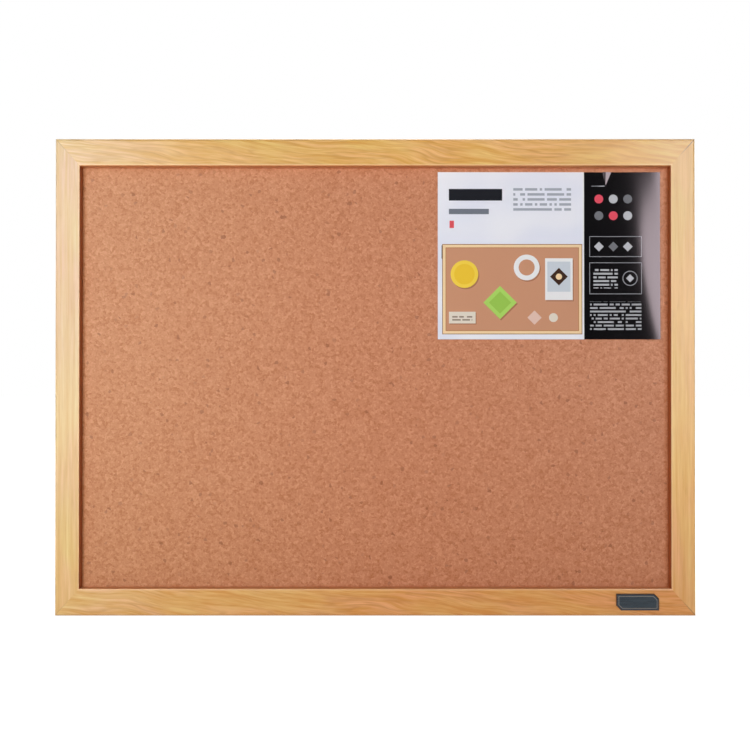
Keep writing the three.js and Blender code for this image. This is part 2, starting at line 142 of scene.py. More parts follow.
# Oak foil: the sizes of its figure along the rail, across it and into it
FOIL_BEND_SIZE = (0.085, 0.03, 0.03)
FOIL_STREAK_SIZE = (0.06, 0.0042, 0.02)
FOIL_LINE_SIZE = (0.075, 0.0075, 0.02)
FOIL_FINE_SIZE = (0.020, 0.0009, 0.005)
FOIL_PATCH_SIZE = (0.07, 0.02, 0.05)
FOIL_RELIEF = 0.00005
RIDGE_HALF = 0.06
RIDGE_PATCH_EDGES = (0.35, 0.6)
FINE_EDGES = (0.5, 0.7)
FINE_STRENGTH = 0.2

# How the grain runs on a level rail and on an upright one: its slope, how far it bends, how much longer its
# figure is, the contrast of its streaks, the strength of its ridges, and the places along the rail where the
# painted light and sheen change their tint
LEVEL_GRAIN = {
    "slope": 0.12, "bend": 0.02, "stretch": 1, "contrast": 4.0, "ridges": 0.4,
    "painted_light_stations": (-0.29, -0.25, -0.17, 0.10, 0.23, 0.28),
}
UPRIGHT_GRAIN = {
    "slope": 0, "bend": 0.0032, "stretch": 2.5, "contrast": 2.3, "ridges": 0.15,
    "painted_light_stations": (-0.20, -0.10, 0.05, 0.18),
}

# Each rail: its grain, its own stretch of the figure, how much of the mitre line shows at its lower or left
# end and at the other, the colour of the painted highlight or shade on its outer edge, the colour of its
# wall in the opening (a raw brown edge with painted shade, darker on the upright rails), and the tint of
# painted light and sheen at each of the grain's places along the rail
RAILS = {
    "top": {
        "grain": LEVEL_GRAIN, "shift": 0.3, "seam_shares": (0.35, 0.9),
        "painted_rim_shading": (244, 224, 194), "wall": (202, 134, 82),
        "painted_light_tints": ((0.92, 1.20, 1.80), (0.89, 1.08, 1.35), (0.95, 1.04, 0.90),
                  (1.08, 1.15, 1.16), (0.94, 0.92, 0.60), (0.85, 0.85, 0.62)),
    },
    "bottom": {
        "grain": LEVEL_GRAIN, "shift": 0.7, "seam_shares": (0.2, 0.5),
        "painted_rim_shading": (184, 148, 108), "wall": (202, 134, 82),
        "painted_light_tints": ((1.02, 1.16, 1.60), (1.02, 1.15, 1.52), (1.0, 1.0, 1.1),
                  (1.01, 0.90, 0.94), (1.03, 0.89, 0.90), (1.03, 0.87, 0.90)),
    },
    "left": {
        "grain": UPRIGHT_GRAIN, "shift": 1.1, "seam_shares": (0.2, 0.35),
        "painted_rim_shading": (248, 230, 204), "wall": (157, 80, 32),
        "painted_light_tints": ((1.01, 1.23, 1.58), (0.91, 1.12, 1.61), (0.81, 0.985, 1.61), (0.85, 1.09, 1.84)),
    },
    "right": {
        "grain": UPRIGHT_GRAIN, "shift": 1.9, "seam_shares": (0.5, 0.9),
        "painted_rim_shading": (222, 200, 164), "wall": (157, 80, 32),
        "painted_light_tints": ((1.08, 1.06, 1.34), (1.15, 1.26, 1.60), (0.92, 0.98, 0.80), (0.84, 0.90, 0.75)),
    },
}

# Painted highlights and shade, and edges on the rails: a painted highlight beside the opening, the wall's
# edge, the painted highlight or shade on the outer edge, and the mitre seams. Each one fades between a near
# and a far distance from its edge.
INNER_HIGHLIGHT_NEAR = 0.0007
INNER_HIGHLIGHT_FAR = 0.0022
INNER_HIGHLIGHT_STRENGTH = 0.6
EDGE_NEAR = 0.0002
EDGE_FAR = 0.0006
WALL_FROM_BACK = 0.009
WALL_FADE = 0.003
# Painted highlight or shade on the outer edge: its width on the front, its strength, and the depths over
# which it fades
RIM_LINE = 0.0020
RIM_STRENGTH = 0.7
RIM_DEPTH_NEAR = 0.0008
RIM_DEPTH_FAR = 0.0020
SEAM_HALF = 0.00035
SEAM_FADE_SHARE = 0.25
SEAM_RISE = 0.01

# Leaflet: its mesh, and how it lifts at its corners, waves, and puckers over the top staple
CARD_CELL = 0.002
CARD_FINE_CELL = 0.0006
CARD_HELD_SIZE = 0.05
CARD_LIFTS = {(0, 0): 0.0006, (1, 0): 0.0010, (0, 1): 0.0004, (1, 1): 0.0005}
CARD_LIFT_POWER = 3
CARD_WAVE = 0.00010
CARD_WAVE_LENGTH = 0.043
CARD_WAVE_SLANT = 0.2
PUCKER_LEFT = 0.003
PUCKER_RIGHT = 0.0055
PUCKER_SLOPE = 0.15
CARD_FINE_LEFT = 2 * PUCKER_LEFT
CARD_FINE_RIGHT = 1.5 * PUCKER_RIGHT
CARD_CLOUD_SIZE = (0.07, 0.07, 0.045)
CARD_GLOSS_TINT = (1.0, 0.82, 0.89)

# Inks of the leaflet's print
TAN = (208, 152, 120)
TAN_SHADE = (176, 122, 92)
FRAME_LINE = (150, 98, 62)
FRAME_SHADE = (186, 128, 84)
CREAM = (246, 216, 170)
PAPER = (232, 222, 208)
CORAL = (236, 84, 104)
BLACK = (9, 10, 12)
DIM_GREY = (120, 122, 128)
GREY = (150, 152, 158)
PALE_GREY = (196, 198, 204)
WHITE = (240, 240, 242)

# The print's spacings, in shares of the leaflet's width and height
SHADE_RIGHT_SHARE = 0.005
SHADE_BELOW_SHARE = 0.008
OUTLINE_SHARES = (0.003, 0.004)
BAND_COLUMN_SHARES = (0.725, 0.790, 0.855)
BAR_INK_SHARE = 0.5
BAR_GAP_SHARE = 0.18


def stacked(kind, centre, *layers):
    """Marks of one kind on one centre, each on top of the one before."""
    return [(kind, centre, half, ink) for half, ink in layers]


def shaded(kind, centre, *layers):
    """Stacked marks on a shade that lies a little lower and to the right."""
    u, v = centre
    shade_half = layers[0][0]
    shade = (kind, (u + SHADE_RIGHT_SHARE, v - SHADE_BELOW_SHARE), shade_half, TAN_SHADE)
    return [shade, *stacked(kind, centre, *layers)]


def outlined(centre, half):
    """A black box with a grey line round it."""
    inner = tuple(outer - line for outer, line in zip(half, OUTLINE_SHARES))
    return stacked("block", centre, (half, GREY), (inner, BLACK))


def band_row(kind, height_share, half_share, inks):
    """Three like marks side by side on the black band."""
    return [(kind, (column, height_share), half_share, ink) for column, ink in zip(BAND_COLUMN_SHARES, inks)]


# The print: kind, centre from the leaflet's lower left corner, half size and ink. A block's half sizes are
# shares of the width and the height, and that of a disc or a diamond is a share of the width both ways.
PRINT_SHARES = [
    *stacked("block", (0.335, 0.30), ((0.315, 0.27), FRAME_LINE), ((0.312, 0.266), CREAM),
             ((0.300, 0.250), FRAME_SHADE), ((0.297, 0.246), TAN)),
    ("block", (0.17, 0.865), (0.12, 0.035), (34, 36, 42)),
    ("block", (0.14, 0.765), (0.09, 0.016), (120, 126, 138)),
    ("block", (0.063, 0.688), (0.010, 0.022), (231, 92, 100)),
    *shaded("disc", (0.12, 0.39), (0.062, (250, 215, 80)), (0.046, (244, 202, 62))),
    *shaded("diamond", (0.28, 0.22), (0.075, (176, 220, 106)), (0.050, (158, 204, 88))),
    *shaded("disc", (0.40, 0.43), (0.058, WHITE), (0.036, TAN)),
    *shaded("block", (0.545, 0.36), ((0.062, 0.125), WHITE)),
    ("block", (0.545, 0.375), (0.052, 0.090), (206, 214, 224)),
    ("diamond", (0.545, 0.375), 0.040, (66, 44, 36)),
    ("disc", (0.545, 0.375), 0.014, CREAM),
    ("block", (0.114, 0.124), (0.06, 0.035), TAN_SHADE),
    ("block", (0.11, 0.13), (0.06, 0.035), PAPER),
    ("diamond", (0.435, 0.13), 0.032, (232, 198, 184)),
    ("disc", (0.52, 0.13), 0.020, PAPER),
    ("block", (0.83, 0.5), (0.172, 0.5), BLACK),
    ("block", (0.6555, 0.5), (0.0028, 0.5), WHITE),
    *band_row("disc", 0.84, 0.020, (CORAL, PALE_GREY, DIM_GREY)),
    *band_row("disc", 0.74, 0.020, (DIM_GREY, CORAL, PALE_GREY)),
    *outlined((0.80, 0.555), (0.118, 0.062)),
    *band_row("diamond", 0.555, 0.022, (PALE_GREY, DIM_GREY, PALE_GREY)),
    *outlined((0.80, 0.365), (0.118, 0.095)),
    *stacked("disc", (0.865, 0.365), (0.034, GREY), (0.030, BLACK)),
    ("diamond", (0.865, 0.365), 0.018, PALE_GREY),
]
# Rows of bars on the print: centre, half sizes, row pitch, word length, ink and seed
BARS_SHARES = [
    ((0.47, 0.83), (0.13, 0.075), 0.030, 0.011, (168, 174, 186), 3.0),
    ((0.80, 0.140), (0.115, 0.085), 0.021, 0.009, (176, 178, 184), 5.0),
    ((0.755, 0.365), (0.055, 0.060), 0.022, 0.008, (186, 188, 194), 7.0),
    ((0.11, 0.13), (0.045, 0.018), 0.018, 0.007, (150, 132, 116), 9.0),
]

# Staples
STAPLE_WIRE = 0.0005
STAPLE_WIRE_WIDTH = 0.0007
STAPLE_BEND = 0.0008
STAPLE_BEND_STEPS = 5
STAPLE_CORNER_SHARE = 0.3

# Nameplate
PLATE_BEVEL = 0.0008
PLATE_CORNER = 0.0046
PLATE_ARRIS = 0.0001
# Where the painted highlight line runs round the plate face, and its width
HIGHLIGHT_LINE_INSET = 0.0022
HIGHLIGHT_LINE_WIDTH = 0.0003
PLATE_BRUSH_SIZE = (0.02, 0.02, 0.00015)
PLATE_RELIEF = 0.000004
PLATE_ROUGHNESS = 0.7

# Hardboard
SCREEN_PITCH = 0.0016
SCREEN_HEIGHT_SHARE = 0.3
SCREEN_EDGES = (0.2, 0.9)
SCREEN_STRENGTH = 0.25
FIBRE_SIZE = (0.0009, 0.0009, 0.004)
FIBRE_EDGES = (0.5, 0.75)
FIBRE_STRENGTH = 0.5
HARDBOARD_CLOUD_SIZE = (0.03, 0.03, 0.02)
HARDBOARD_RELIEF = 0.00012

# Plain materials: two like colours, the size of their clouds, roughness, relief and metallic weight
PLAIN_FINISHES = {
    "zinc-plated steel": ((150, 154, 159), (172, 176, 181), 0.004, 0.34, 0.00001, 1),
    "bright steel": ((170, 173, 178), (188, 191, 196), 0.003, 0.26, 0.00001, 1),
    "staple steel": ((98, 99, 103), (112, 113, 118), 0.002, 0.45, 0.00001, 1),
    "foam tape": ((233, 231, 224), (240, 238, 232), 0.001, 0.9, 0.00002, 0),
    "soft rubber": ((40, 40, 42), (48, 48, 50), 0.002, 0.7, 0.00002, 0),
    "soft fibreboard": ((176, 150, 116), (190, 164, 128), 0.002, 0.9, 0.00005, 0),
}

# Small roundings on the CAD pieces
WELD_GAP = 0.000002
RAIL_ARRIS = 0.00025
STEEL_ARRIS = 0.00008
RUBBER_ARRIS = 0.0002
ARRIS_SEGMENTS = 2
SHARP_ANGLE = math.radians(34)

# Pieces in a plain material that keep their CAD shape: the starts of their names, and their rounding if any
PLAIN_NODES = {
    "zinc-plated steel": (("framer_point", "hanger_strap", "hanger_screw"), STEEL_ARRIS),
    "bright steel": (("hanger_ring", "v_nail"), STEEL_ARRIS),
    "foam tape": (("nameplate_tape",), 0),
    "soft rubber": (("wall_bumper",), RUBBER_ARRIS),
    "soft fibreboard": (("core_board",), 0),
}


# Materials in short

def linear(red, green, blue):
    """A colour in linear light, from its screen values, by the usual curve of a screen."""
    full, offset, power = 255, 0.055, 2.4
    return tuple(((value / full + offset) / (1 + offset)) ** power for value in (red, green, blue))


SOCKETS = {
    "specular": "Specular IOR Level",
    "metallic": "Metallic",
    "specular_tint": "Specular Tint",
}
# The colour sockets of a Mix node, whose names other sockets share
MIX_SHARE, MIX_FIRST, MIX_SECOND, MIX_RESULT = 0, 6, 7, 2


class Finish:
    """A material that is being made, with short ways to add to its nodes."""

    def __init__(self, name):
        self.material = bpy.data.materials.new(name)
        self.material.use_nodes = True
        self.tree = self.material.node_tree
        self.surface = self.tree.nodes["Principled BSDF"]
        self.place = self.add("ShaderNodeTexCoord").outputs["Object"]

    def add(self, kind, **settings):
        node = self.tree.nodes.new(kind)
        for name, value in settings.items():
            setattr(node, name, value)
        return node

    def put(self, value, socket):
        """Links a socket where the value is another node's output, and writes the value otherwise."""
        if isinstance(value, bpy.types.NodeSocket):
            self.tree.links.new(value, socket)
        elif isinstance(value, tuple) and socket.type == "RGBA":
            socket.default_value = (*value, 1)
        else:
            socket.default_value = value

    def calc(self, operation, *values, clamp=False):
        node = self.add("ShaderNodeMath", operation=operation, use_clamp=clamp)
        for value, socket in zip(values, node.inputs):
            self.put(value, socket)
        return node.outputs[0]

    def combine(self, operation, *vectors):
        """A sum, product or the like of vectors."""
        node = self.add("ShaderNodeVectorMath", operation=operation)
        for value, socket in zip(vectors, node.inputs):
            self.put(value, socket)
        return node.outputs["Value" if operation in ("LENGTH", "DOT_PRODUCT") else "Vector"]

    def parts(self, vector):
        node = self.add("ShaderNodeSeparateXYZ")
        self.put(vector, node.inputs[0])
        return node.outputs

    def vector(self, x, y, z):
        node = self.add("ShaderNodeCombineXYZ")
        for value, socket in zip((x, y, z), node.inputs):
            self.put(value, socket)
        return node.outputs[0]

    def off(self, value, centre):
        """How far a value is from a centre, either way."""
        return self.calc("ABSOLUTE", self.calc("SUBTRACT", value, centre))

    def inside(self, value, low, high):
        """How far a value is inside a range, from the nearer of its ends."""
        return self.calc("MINIMUM", self.calc("SUBTRACT", value, low), self.calc("SUBTRACT", high, value))

    def cloudy(self, vector, size, detail=2.0, roughness=0.5):
        """Smooth noise from 0 to 1, whose clouds have the size that is given along each axis."""
        node = self.add("ShaderNodeTexNoise")
        node.inputs["Scale"].default_value = 1
        node.inputs["Detail"].default_value = detail
        node.inputs["Roughness"].default_value = roughness
        self.put(self.combine("DIVIDE", vector, size), node.inputs["Vector"])
        return node.outputs["Fac"]

    def cells(self, vector, size):
        """Grains: the distance from each one's middle, and its own random colour."""
        node = self.add("ShaderNodeTexVoronoi")
        node.inputs["Scale"].default_value = 1
        self.put(self.combine("DIVIDE", vector, (size, size, size)), node.inputs["Vector"])
        return node.outputs

    def between(self, value, low, high, top=1.0):
        """0 at low, and a smooth step up to the top at high."""
        node = self.add("ShaderNodeMapRange", interpolation_type="SMOOTHSTEP")
        self.put(value, node.inputs["Value"])
        node.inputs["From Min"].default_value = low
        node.inputs["From Max"].default_value = high
        node.inputs["To Max"].default_value = top
        return node.outputs["Result"]

    def mixed(self, share, first, second, blend="MIX"):
        node = self.add("ShaderNodeMix", data_type="RGBA", blend_type=blend)
        self.put(share, node.inputs[MIX_SHARE])
        self.put(first, node.inputs[MIX_FIRST])
        self.put(second, node.inputs[MIX_SECOND])
        return node.outputs[MIX_RESULT]

    def tinted(self, colour, tint):
        return self.mixed(1.0, colour, tint, "MULTIPLY")

    def relief(self, height, depth):
        """A bump of a real depth in metres, from a height of 0 to 1."""
        node = self.add("ShaderNodeBump")
        node.inputs["Distance"].default_value = depth
        self.put(height, node.inputs["Height"])
        return node.outputs["Normal"]

    def done(self, colour, roughness, normal=None, **constants):
        """Sets the surface: what varies is linked, and each constant is written on its own socket."""
        self.put(colour, self.surface.inputs["Base Color"])
        self.put(roughness, self.surface.inputs["Roughness"])
        if normal is not None:
            self.put(normal, self.surface.inputs["Normal"])
        for name, value in constants.items():
            self.put(value, self.surface.inputs[SOCKETS[name]])
        return self.material


def give(material, *objects):
    for obj in objects:
        obj.data.materials.clear()
        obj.data.materials.append(material)


def nodes_named(*starts):
    return [obj for name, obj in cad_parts.items() if name.startswith(starts)]


# Meshes in short

def piece(name, mesh, node, finish, body="board"):
    """Makes a mesh a piece that stands for a CAD node."""
    bmesh.ops.recalc_face_normals(mesh, faces=mesh.faces)
    data = bpy.data.meshes.new(name)
    mesh.to_mesh(data)
    mesh.free()
    data.shade_smooth()
    data.set_sharp_from_angle(angle=SHARP_ANGLE)
    obj = bpy.data.objects.new(name, data)
    bpy.context.scene.collection.objects.link(obj)
    give(finish, obj)
    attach(obj, body)
    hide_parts(node)
    return obj


def spaced(start, end, cell):
    """Even places from start to end, about a cell apart."""
    count = max(1, round((end - start) / cell))
    return [start + (end - start) * index / count for index in range(count + 1)]


def closed_sheet(columns, rows, front, back):
    """A closed sheet over places in X and Z, whose faces' depths are functions of those places."""
    mesh = bmesh.new()
    grids = []
    for depth in (front, back):
        grids.append([[mesh.verts.new((x, depth(x, z), z)) for x in columns] for z in rows])
        for low, high in zip(grids[-1], grids[-1][1:]):
            for corners in zip(low, low[1:], high[1:], high):
                mesh.faces.new(corners)
    rims = []
    for grid in grids:
        right = [row[-1] for row in grid[1:-1]]
        left = [row[0] for row in grid[1:-1]]
        rims.append(grid[0] + right + grid[-1][::-1] + left[::-1])
    front_rim, back_rim = rims
    for index, corner in enumerate(front_rim):
        after = (index + 1) % len(front_rim)
        mesh.faces.new((corner, back_rim[index], back_rim[after], front_rim[after]))
    return mesh


def loft(loops):
    """A closed body through loops of points, with a flat cap at each end."""
    mesh = bmesh.new()
    rings = [[mesh.verts.new(point) for point in loop] for loop in loops]
    for low, high in zip(rings, rings[1:]):
        for index, corner in enumerate(low):
            after = (index + 1) % len(low)
            mesh.faces.new((corner, low[after], high[after], high[index]))
    mesh.faces.new(rings[0][::-1])
    mesh.faces.new(rings[-1])
    return mesh


# Camera

def add_camera():
    data = bpy.data.cameras.new("camera")
    data.lens = LENS_MM
    data.sensor_width = SENSOR_WIDTH_MM
    camera = bpy.data.objects.new("camera", data)
    bpy.context.scene.collection.objects.link(camera)
    middle = (cad_box[0] + cad_box[1]) / 2
    target = Vector((middle.x - AIM_LEFT, FRAME_FRONT, middle.z + AIM_ABOVE))
    back = Vector((0, -math.cos(CAMERA_ELEVATION), math.sin(CAMERA_ELEVATION)))
    camera.location = target + CAMERA_DISTANCE * back
    camera.rotation_euler = (-back).to_track_quat("-Z", "Y").to_euler()
    bpy.context.scene.camera = camera


# Floor, world and lamps

def floor_finish():
    """A pale floor that camera, gloss and glass see nearer to white, and fully white far away."""
    finish = Finish("pale floor")
    path = finish.add("ShaderNodeLightPath").outputs
    seen = finish.calc("MAXIMUM", path["Is Camera Ray"], path["Is Glossy Ray"])
    seen = finish.calc("MAXIMUM", seen, path["Is Transmission Ray"])
    far = finish.between(finish.combine("LENGTH", finish.place), FLOOR_NEAR, FLOOR_FAR,
                         1 - FLOOR_NEAR_WHITE_SHARE)
    white = finish.calc("ADD", far, FLOOR_NEAR_WHITE_SHARE)
    finish.put(finish.calc("MULTIPLY", seen, white), finish.surface.inputs["Emission Strength"])
    finish.put((1, 1, 1), finish.surface.inputs["Emission Color"])
    return finish.done(linear(214, 213, 211), roughness=0.9, specular=0)


def add_floor():
    mesh = bpy.data.meshes.new("floor")
    height = cad_box[0].z - FLOOR_BELOW
    corners = [(x * FLOOR_HALF_WIDTH, y * FLOOR_HALF_WIDTH, height) for x, y in
               ((-1, -1), (1, -1), (1, 1), (-1, 1))]
    mesh.from_pydata(corners, [], [(0, 1, 2, 3)])
    floor = bpy.data.objects.new("floor", mesh)
    bpy.context.scene.collection.objects.link(floor)
    give(floor_finish(), floor)


def add_world():
    """White for the camera and glass, and behind the object for gloss; a plain pale light on the object."""
    world = bpy.data.worlds.new("studio")
    world.use_nodes = True
    tree = world.node_tree

    def linked(kind, *sources, **settings):
        node = tree.nodes.new(kind)
        for name, value in settings.items():
            setattr(node, name, value)
        for source, socket in zip(sources, node.inputs):
            tree.links.new(source, socket)
        return node

    path = tree.nodes.new("ShaderNodeLightPath").outputs
    direction = linked("ShaderNodeSeparateXYZ", tree.nodes.new("ShaderNodeTexCoord").outputs["Generated"])
    behind = linked("ShaderNodeMath", direction.outputs["Y"], operation="GREATER_THAN")
    behind.inputs[1].default_value = 0
    gloss = linked("ShaderNodeMath", path["Is Glossy Ray"], behind.outputs[0], operation="MULTIPLY")
    seen = linked("ShaderNodeMath", path["Is Camera Ray"], path["Is Transmission Ray"], operation="MAXIMUM")
    seen = linked("ShaderNodeMath", seen.outputs[0], gloss.outputs[0], operation="MAXIMUM")
    level = linked("ShaderNodeMapRange", seen.outputs[0])
    level.inputs["To Min"].default_value = WORLD_LEVEL
    level.inputs["To Max"].default_value = 1
    tree.links.new(level.outputs["Result"], tree.nodes["Background"].inputs["Strength"])
    tree.nodes["Background"].inputs["Color"].default_value = (1, 1, 1, 1)
    bpy.context.scene.world = world


def add_lamps():
    for name, (place, target, width, height, watts) in {**LAMPS, **MATTE_LAMPS, **GLOSS_STRIPS}.items():
        data = bpy.data.lights.new(name, "AREA")
        data.shape = "RECTANGLE"
        data.size = width
        data.size_y = height
        data.energy = watts
        lamp = bpy.data.objects.new(name, data)
        bpy.context.scene.collection.objects.link(lamp)
        lamp.location = place
        lamp.rotation_euler = (Vector(target) - Vector(place)).to_track_quat("-Z", "Y").to_euler()
        lamp.visible_camera = False
        lamp.visible_diffuse = name not in GLOSS_STRIPS
        lamp.visible_glossy = name not in MATTE_LAMPS


# Frame rails

def oak_foil(side):
    """Printed oak foil on one rail, with painted light and sheen along it, painted highlight and shade at
    its edges, its half of two mitre lines and its bare back.
    """
    rail = RAILS[side]
    finish = Finish(f"oak foil, {side}")
    x, y, z = finish.parts(finish.place)
    along, across = (z, x) if rail["grain"] is UPRIGHT_GRAIN else (x, z)
    across = finish.calc("ADD", across, y)
    deep = finish.calc("ADD", y, rail["shift"])
    colour, ridges, fine = oak_grain(finish, along, across, deep, rail["grain"])
    # Painted light and sheen: a tint that changes along the rail, paler and bluer where a lamp's gloss falls
    # on it.
    tint = rail["painted_light_tints"][0]
    painted_light_stations = rail["grain"]["painted_light_stations"]
    for start, end, next_painted_light_tint in zip(painted_light_stations, painted_light_stations[1:], rail["painted_light_tints"][1:]):
        tint = finish.mixed(finish.between(along, start, end), tint, next_painted_light_tint)
    colour = finish.tinted(colour, tint)
    wide, high = finish.calc("ABSOLUTE", x), finish.calc("ABSOLUTE", z)
    out_x = finish.calc("SUBTRACT", wide, OPENING_RIGHT)
    out_z = finish.calc("SUBTRACT", high, OPENING_TOP)
    colour = opening_edge(finish, colour, finish.calc("MAXIMUM", out_x, out_z), y, linear(*rail["wall"]))
    # Painted highlight and shade on the outer edge: each rail has its own colour there, pale on the top and
    # left rails and darker on the bottom one.
    from_rim = finish.calc("MAXIMUM", finish.calc("ADD", wide, FRAME_LEFT),
                           finish.calc("SUBTRACT", high, FRAME_TOP))
    painted_rim_share = finish.calc("MULTIPLY", finish.between(from_rim, -RIM_LINE, -RAIL_ARRIS, RIM_STRENGTH),
                            finish.between(y, FRAME_FRONT + RIM_DEPTH_FAR, FRAME_FRONT + RIM_DEPTH_NEAR))
    colour = finish.mixed(painted_rim_share, colour, linear(*rail["painted_rim_shading"]))
    seam = mitre_line(finish, out_x, out_z, along, *rail["seam_shares"])
    colour = finish.mixed(seam, colour, linear(120, 88, 62))
    bare = finish.mixed(finish.between(fine, *CLOUD_EDGES), linear(224, 194, 152), linear(202, 166, 122))
    behind = finish.between(y, FRAME_BACK - EDGE_FAR, FRAME_BACK - EDGE_NEAR)
    colour = finish.mixed(behind, colour, bare)
    normal = finish.relief(finish.calc("SUBTRACT", fine, ridges), FOIL_RELIEF)
    return finish.done(colour, roughness=0.33, normal=normal, specular=0.45)


def oak_grain(finish, along, across, deep, grain):
    """The oak's streaks, ridges and fine lines: their colour, then the shares of ridges and fine lines."""
    yellow_oak = linear(232, 188, 109)
    pink_oak = linear(236, 178, 117)
    shade_oak = linear(217, 155, 71)
    dark_oak = linear(192, 130, 56)

    def stretched(size):
        return (grain["stretch"] * size[0], *size[1:])

    spot = finish.vector(along, across, deep)
    bend = finish.calc("SUBTRACT", finish.cloudy(spot, stretched(FOIL_BEND_SIZE), detail=1), 0.5)
    bent = finish.calc("ADD", across, finish.calc("MULTIPLY", bend, grain["bend"]))
    bent = finish.calc("ADD", bent, finish.calc("MULTIPLY", along, grain["slope"]))
    grained = finish.vector(along, bent, deep)
    streaks = finish.cloudy(grained, stretched(FOIL_STREAK_SIZE), detail=3, roughness=0.75)
    lines = finish.cloudy(grained, FOIL_LINE_SIZE)
    fine = finish.cloudy(grained, FOIL_FINE_SIZE, roughness=0.6)
    patches = finish.cloudy(grained, FOIL_PATCH_SIZE, detail=1)
    pale = finish.mixed(finish.between(patches, *FIRM_CLOUD_EDGES), yellow_oak, pink_oak)
    pale_share = finish.calc("MULTIPLY_ADD", finish.calc("SUBTRACT", streaks, 0.5), grain["contrast"], 0.5,
                             clamp=True)
    colour = finish.mixed(pale_share, shade_oak, pale)
    ridges = finish.calc("MULTIPLY", finish.between(finish.off(lines, 0.5), RIDGE_HALF, 0, grain["ridges"]),
                         finish.between(patches, *RIDGE_PATCH_EDGES))
    colour = finish.mixed(ridges, colour, dark_oak)
    colour = finish.mixed(finish.between(fine, *FINE_EDGES, FINE_STRENGTH), colour, dark_oak)
    return colour, ridges, fine


def opening_edge(finish, colour, from_opening, y, wall_brown_and_shade):
    """Adds a rail's painted highlight beside the opening, and its dark wall in it, whose brown is partly
    painted shade.
    """
    inner_highlight_share = finish.between(from_opening, INNER_HIGHLIGHT_FAR, INNER_HIGHLIGHT_NEAR, INNER_HIGHLIGHT_STRENGTH)
    colour = finish.mixed(inner_highlight_share, colour, linear(240, 198, 146))
    # The wall's colour is a raw brown edge with painted shade in it, darker on the upright rails than on the
    # level ones.
    wall_back = FRAME_BACK - WALL_FROM_BACK
    wall_share = finish.calc("MULTIPLY", finish.between(from_opening, EDGE_FAR, EDGE_NEAR),
                             finish.between(y, wall_back + WALL_FADE, wall_back))
    return finish.mixed(wall_share, colour, wall_brown_and_shade)


def mitre_line(finish, out_x, out_z, along, low_end_share, high_end_share):
    """How much of a seam's colour shows: a thin line from each outer corner, fading on its way in."""
    rail_width = OPENING_LEFT - FRAME_LEFT
    rail_height = FRAME_TOP - OPENING_TOP
    diagonal = math.hypot(rail_width, rail_height)
    off_line = finish.off(finish.calc("MULTIPLY", out_x, rail_height / diagonal),
                          finish.calc("MULTIPLY", out_z, rail_width / diagonal))
    on_line = finish.between(off_line, 2 * SEAM_HALF, SEAM_HALF / 2)
    outward = finish.between(out_x, rail_width * SEAM_FADE_SHARE, rail_width * (1 - SEAM_FADE_SHARE / 2))
    rise = finish.between(along, -SEAM_RISE, SEAM_RISE, high_end_share - low_end_share)
    strength = finish.calc("ADD", rise, low_end_share)
    return finish.calc("MULTIPLY", finish.calc("MULTIPLY", on_line, outward), strength)


# Cork

def cork_finish():
    """Pressed cork: grains of two sizes with a few specks of bark, and painted light, brighter and yellower
    on the left and duller to the right.
    """
    pale_grain = linear(208, 141, 103)
    mid_grain = linear(195, 125, 85)
    dark_grain = linear(180, 107, 64)
    bark = linear(122, 58, 24)
    finish = Finish("cork")
    coarse = finish.cells(finish.place, CORK_GRAIN)
    small = finish.cells(finish.place, CORK_GRAIN / 2)
    coarse_tone, _, coarse_pick = finish.parts(coarse["Color"])
    _, small_tone, _ = finish.parts(small["Color"])
    patches = finish.cloudy(finish.place, (CORK_PATCH, CORK_PATCH, CORK_PATCH))
    tone = finish.calc("ADD", finish.calc("MULTIPLY", coarse_tone, COARSE_WEIGHT),
                       finish.calc("MULTIPLY", small_tone, SMALL_WEIGHT))
    tone = finish.calc("ADD", tone, finish.calc("MULTIPLY", patches, PATCH_WEIGHT))
    colour = finish.mixed(finish.between(tone, DARK_TONE, MIDDLE_TONE), dark_grain, mid_grain)
    colour = finish.mixed(finish.between(tone, MIDDLE_TONE, PALE_TONE), colour, pale_grain)
    speck = finish.between(coarse_pick, *SPECK_EDGES, SPECK_STRENGTH)
    colour = finish.mixed(speck, colour, bark)
    # Painted light: a tint from brighter and yellower on the left to duller on the right.
    painted_light_share = finish.between(finish.parts(finish.place)[0], -CORK_HIGH.x, CORK_HIGH.x * PAINTED_LIGHT_END_SHARE)
    colour = finish.tinted(colour, finish.mixed(painted_light_share, CORK_PAINTED_LIGHT_LEFT, CORK_PAINTED_LIGHT_RIGHT))
    height = finish.calc("ADD", finish.between(coarse["Distance"], GRAIN_RIM, GRAIN_MIDDLE),
                         finish.between(small["Distance"], GRAIN_RIM, GRAIN_MIDDLE, SMALL_HEIGHT_SHARE))
    return finish.done(colour, roughness=0.6, normal=finish.relief(height, CORK_RELIEF), specular=0.4)


def make_cork():
    """The cork sheet: its edge under the lips, and the free field that bulges a little between them."""
    edge_y = CORK_LOW.y + CORK_BULGE
    field_x = OPENING_RIGHT - CORK_FIELD_CLEARANCE
    field_z = OPENING_TOP - CORK_FIELD_CLEARANCE
    hollow_size = 2 * CORK_GRAIN

    def places(edge, field):
        inner = spaced(CORK_STEP - field, field - CORK_STEP, CORK_CELL)
        return [-edge, -field, *inner, field, edge]

    def front(x, z):
        inside = min(field_x - abs(x), field_z - abs(z))
        if inside < CORK_STEP / 2:
            return edge_y
        hollow = 0.5 + 0.5 * noise.noise(Vector((x / hollow_size, 0, z / hollow_size)))
        return CORK_LOW.y + CORK_HOLLOWS * hollow

    mesh = closed_sheet(places(CORK_HIGH.x, field_x), places(CORK_HIGH.z, field_z), front,
                        lambda x, z: CORK_HIGH.y)
    piece("cork_panel", mesh, "cork_sheet", cork_finish())


# Leaflet

